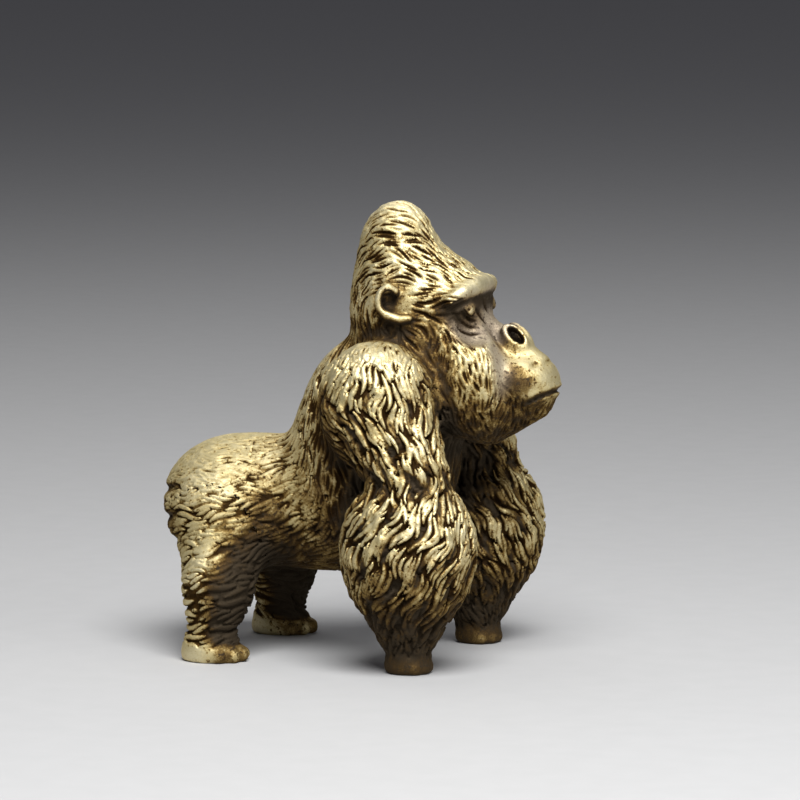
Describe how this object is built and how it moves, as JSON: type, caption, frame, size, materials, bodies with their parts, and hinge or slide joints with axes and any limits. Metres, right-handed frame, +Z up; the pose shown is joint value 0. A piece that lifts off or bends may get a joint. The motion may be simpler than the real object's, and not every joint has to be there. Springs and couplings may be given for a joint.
{
  "type": "gorilla figurine",
  "caption": "Small solid brass gorilla figurine standing on its knuckles and hind feet, with carved fur, a tall head crest and an aged dark patina.",
  "frame": {"origin": "on the ground, under the middle of the figure's length and width", "axes": "+X the way the figure faces, +Y its left side, +Z up"},
  "size_m": [0.0408, 0.0338, 0.045],
  "materials": {
    "aged_brass": "satin, with worn bright ridges and a dark patina in the grooves",
    "dowel_brass": "plain turned"
  },
  "bodies": {
    "root": {"torso": "aged_brass", "head": "aged_brass", "right_arm": "aged_brass", "left_arm": "aged_brass", "right_leg": "aged_brass", "left_leg": "aged_brass", "neck_dowel": "dowel_brass", "right_shoulder_dowel": "dowel_brass", "left_shoulder_dowel": "dowel_brass", "right_hip_dowel": "dowel_brass", "left_hip_dowel": "dowel_brass"}
  },
  "joints": []
}
